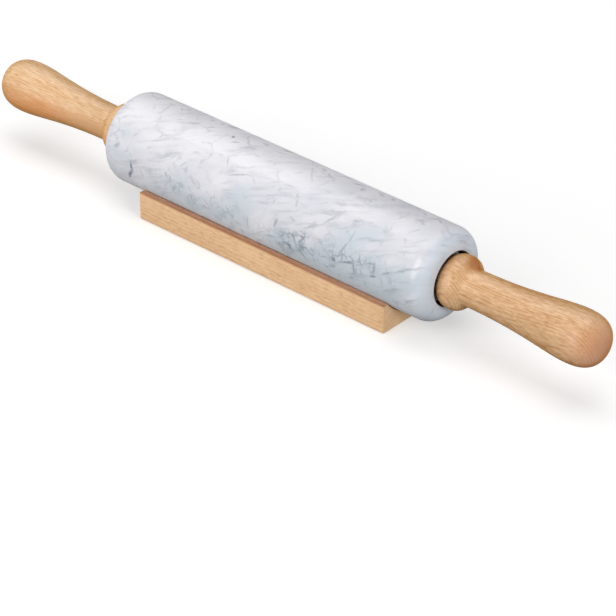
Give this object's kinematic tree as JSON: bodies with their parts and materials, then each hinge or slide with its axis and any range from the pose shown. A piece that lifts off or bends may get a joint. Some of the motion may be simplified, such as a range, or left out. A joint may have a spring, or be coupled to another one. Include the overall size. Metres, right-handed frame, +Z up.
{
  "type": "marble rolling pin",
  "caption": "Marble rolling pin with turned beech handles on a steel axle, lying in a beech cradle with a round trough. The barrel turns and the pin lifts out.",
  "frame": {"origin": "on the table under the middle of the pin, at the centre of the bottom of the whole object's box", "axes": "+X along the pin, +Y across it, +Z up"},
  "size_m": [0.46, 0.0572, 0.0645],
  "materials": {
    "marble": "polished white marble with grey veins",
    "handle_beech": "turned and oiled beech",
    "cradle_beech": "planed and sanded beech",
    "steel": "zinc-plated steel",
    "nylon": "moulded nylon",
    "brass": "turned brass"
  },
  "bodies": {
    "cradle": {"cradle": "cradle_beech"},
    "handles": {"axle_rod": "steel", "thrust_washer_left": "steel", "thrust_washer_right": "steel", "lock_nut_left": "steel", "lock_nut_right": "steel", "threaded_insert_left": "brass", "threaded_insert_right": "brass", "handle_left": "handle_beech", "handle_right": "handle_beech"},
    "barrel": {"marble_barrel": "marble", "bush_left": "nylon", "bush_right": "nylon"}
  },
  "joints": [
    {"name": "pin_lift", "type": "slide", "parent": "cradle", "child": "handles", "axis": [0, 0, 1], "range_m": [0, 0.1]},
    {"name": "barrel_roll", "type": "hinge", "parent": "handles", "child": "barrel", "pos_m": [0, 0, 0.0359], "axis": [1, 0, 0], "continuous": true}
  ]
}
